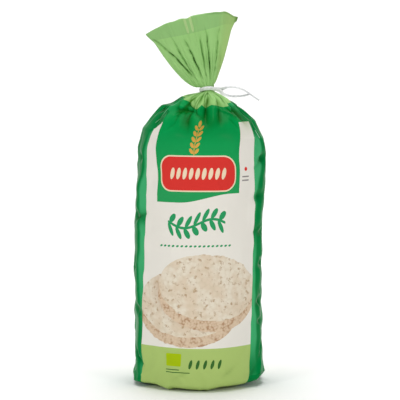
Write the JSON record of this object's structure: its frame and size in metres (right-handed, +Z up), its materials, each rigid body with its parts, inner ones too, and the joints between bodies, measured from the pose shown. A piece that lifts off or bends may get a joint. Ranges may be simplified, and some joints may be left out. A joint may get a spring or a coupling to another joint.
{
  "type": "tied bag of puffed rice cakes",
  "caption": "Upright printed film bag packed round a stack of round puffed rice cakes, gathered at the neck with a flat wire tie under a flared sealed top.",
  "frame": {"origin": "middle of the flat underside, where the bag stands", "axes": "+Z up the stack towards the sealed top, -Y towards the printed front panel, +X towards the loose ends of the tie"},
  "size_m": [0.1036, 0.1001, 0.2866],
  "materials": {
    "printed_film": "satin printed polypropylene film, mostly green with a pale front panel",
    "tie_plastic": "white plastic strip over a thin wire"
  },
  "bodies": {
    "root": {"film_bag": "printed_film", "tie": "tie_plastic"}
  },
  "joints": []
}
